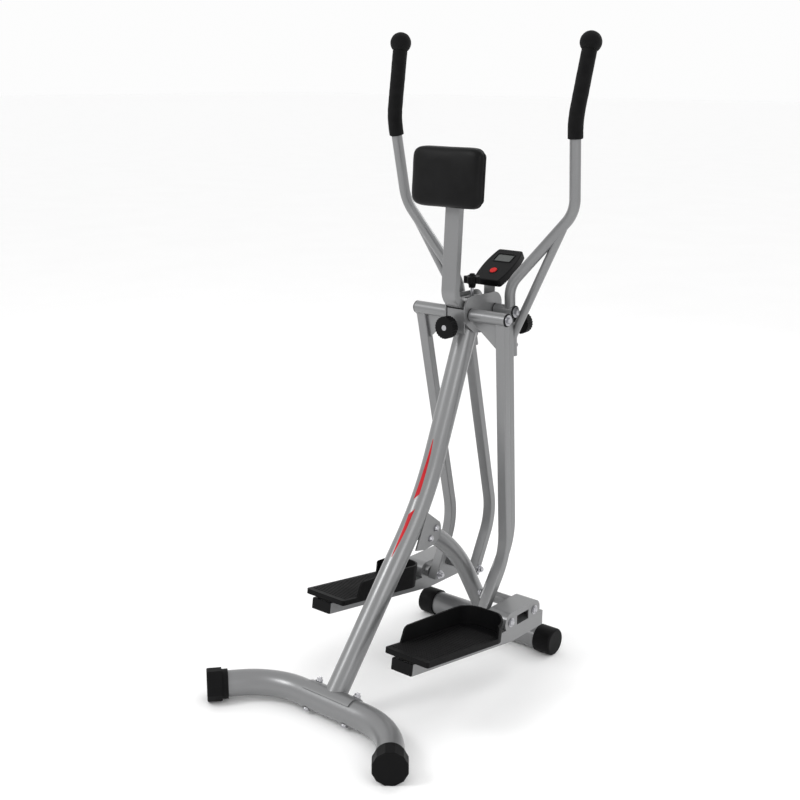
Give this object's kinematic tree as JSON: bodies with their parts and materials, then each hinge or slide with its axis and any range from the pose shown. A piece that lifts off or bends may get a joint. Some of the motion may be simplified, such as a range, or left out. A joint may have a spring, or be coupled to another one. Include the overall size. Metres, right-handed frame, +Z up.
{
  "type": "air walker elliptical trainer",
  "caption": "Free-standing air walker trainer: leaning post on two base tubes, swinging leg linkages with pedals and handles, chest pad and small computer.",
  "frame": {"origin": "floor level under the middle of the whole machine", "axes": "+X to the user's right, +Y the way the user faces, +Z up"},
  "size_m": [0.6028, 0.8226, 1.4791],
  "materials": {
    "painted_tube": "silver grey metallic semi-gloss paint",
    "painted_plate": "silver grey metallic semi-gloss paint",
    "black_paint": "black satin paint",
    "zinc": "bright zinc plating",
    "axle_steel": "ground steel",
    "black_plastic": "moulded matte black",
    "bush_plastic": "acetal bush",
    "tray_plastic": "moulded black, ribbed tread",
    "pad_vinyl": "black vinyl over foam",
    "foam": "black foam rubber",
    "computer_plastic": "satin black moulding",
    "screen": "grey liquid crystal screen",
    "red_button": "red translucent key"
  },
  "bodies": {
    "frame": {"main_post": "painted_tube", "post_saddle": "painted_plate", "curved_base": "painted_tube", "curved_base_caps": "black_plastic", "saddle_bolts": "zinc", "brace_ears": "painted_plate", "brace_tube": "painted_tube", "brace_bolts": "zinc", "straight_base": "painted_tube", "straight_base_caps": "black_plastic", "head_plates": "painted_plate", "head_web": "painted_plate", "pivot_axles": "axle_steel", "axle_bolts": "zinc", "clamp_nut": "zinc", "computer_stalk": "painted_plate", "computer_housing": "computer_plastic", "computer_screen": "screen"},
    "chest_pad": {"pad_bar": "painted_tube", "pad_board": "black_plastic", "pad_cushion": "pad_vinyl"},
    "clamp": {"clamp_knob": "black_plastic", "clamp_stud": "zinc"},
    "tension": {"tension_knob": "black_plastic", "tension_stud": "zinc"},
    "button": {"computer_button": "red_button"},
    "front_arm_left": {"front_hub_left": "painted_tube", "front_leg_left": "painted_tube", "front_bushes_left": "bush_plastic"},
    "rear_arm_left": {"rear_hub_left": "painted_tube", "rear_leg_left": "painted_tube", "rear_bushes_left": "bush_plastic", "handle_tube_left": "painted_tube", "handle_brace_left": "painted_tube", "handle_bolt_left": "zinc", "grip_left": "foam", "handle_ball_left": "foam"},
    "pedal_left": {"pedal_beam_left": "painted_tube", "pedal_cap_left": "black_plastic", "pedal_tray_left": "tray_plastic", "pedal_bracket_left": "painted_plate", "pedal_bolts_left": "zinc"},
    "lock_left": {"arm_knob_left": "black_plastic"},
    "front_arm_right": {"front_hub_right": "painted_tube", "front_leg_right": "painted_tube", "front_bushes_right": "bush_plastic"},
    "rear_arm_right": {"rear_hub_right": "painted_tube", "rear_leg_right": "painted_tube", "rear_bushes_right": "bush_plastic", "handle_tube_right": "painted_tube", "handle_brace_right": "painted_tube", "handle_bolt_right": "zinc", "grip_right": "foam", "handle_ball_right": "foam"},
    "pedal_right": {"pedal_beam_right": "painted_tube", "pedal_cap_right": "black_plastic", "pedal_tray_right": "tray_plastic", "pedal_bracket_right": "painted_plate", "pedal_bolts_right": "zinc"},
    "lock_right": {"arm_knob_right": "black_plastic"}
  },
  "joints": [
    {"name": "pad_slide", "type": "slide", "parent": "frame", "child": "chest_pad", "axis": [0, -1, 0], "range_m": [-0.022, 0.022]},
    {"name": "clamp_spin", "type": "hinge", "parent": "frame", "child": "clamp", "pos_m": [0, 0.2245, 0.9], "axis": [0, 0, 1], "continuous": true},
    {"name": "tension_spin", "type": "hinge", "parent": "frame", "child": "tension", "pos_m": [0, 0.1355, 0.825], "axis": [0, 1, 0], "continuous": true},
    {"name": "button_press", "type": "slide", "parent": "frame", "child": "button", "axis": [0, 0.503, -0.8643], "range_m": [0, 0.0012], "stiffness_N_per_m": 400, "springref_m": -0.001},
    {"name": "front_arm_swing_left", "type": "hinge", "parent": "frame", "child": "front_arm_left", "pos_m": [0, 0.1845, 0.8495], "axis": [1, 0, 0], "range_deg": [-38, 12]},
    {"name": "rear_arm_swing_left", "type": "hinge", "parent": "frame", "child": "rear_arm_left", "pos_m": [0, 0.2795, 0.8495], "axis": [1, 0, 0], "range_deg": [-38, 12]},
    {"name": "pedal_pivot_left", "type": "hinge", "parent": "front_arm_left", "child": "pedal_left", "pos_m": [0, 0.24805, 0.15192], "axis": [1, 0, 0], "range_deg": [-12, 38]},
    {"name": "lock_spin_left", "type": "hinge", "parent": "rear_arm_left", "child": "lock_left", "pos_m": [-0.055, 0.3576, 0.82237], "axis": [0, 0.9744, 0.225], "continuous": true},
    {"name": "front_arm_swing_right", "type": "hinge", "parent": "frame", "child": "front_arm_right", "pos_m": [0, 0.1845, 0.8495], "axis": [1, 0, 0], "range_deg": [-28.5, 21.5]},
    {"name": "rear_arm_swing_right", "type": "hinge", "parent": "frame", "child": "rear_arm_right", "pos_m": [0, 0.2795, 0.8495], "axis": [1, 0, 0], "range_deg": [-28.5, 21.5]},
    {"name": "pedal_pivot_right", "type": "hinge", "parent": "front_arm_right", "child": "pedal_right", "pos_m": [0, 0.13326, 0.1509], "axis": [1, 0, 0], "range_deg": [-21.5, 28.5]},
    {"name": "lock_spin_right", "type": "hinge", "parent": "rear_arm_right", "child": "lock_right", "pos_m": [0.055, 0.35213, 0.80998], "axis": [0, 0.998, 0.0628], "continuous": true}
  ],
  "couplings": [
    {"joint": "rear_arm_swing_left", "follows": "front_arm_swing_left", "ratio": 1},
    {"joint": "pedal_pivot_left", "follows": "front_arm_swing_left", "ratio": -1},
    {"joint": "rear_arm_swing_right", "follows": "front_arm_swing_right", "ratio": 1},
    {"joint": "pedal_pivot_right", "follows": "front_arm_swing_right", "ratio": -1}
  ]
}
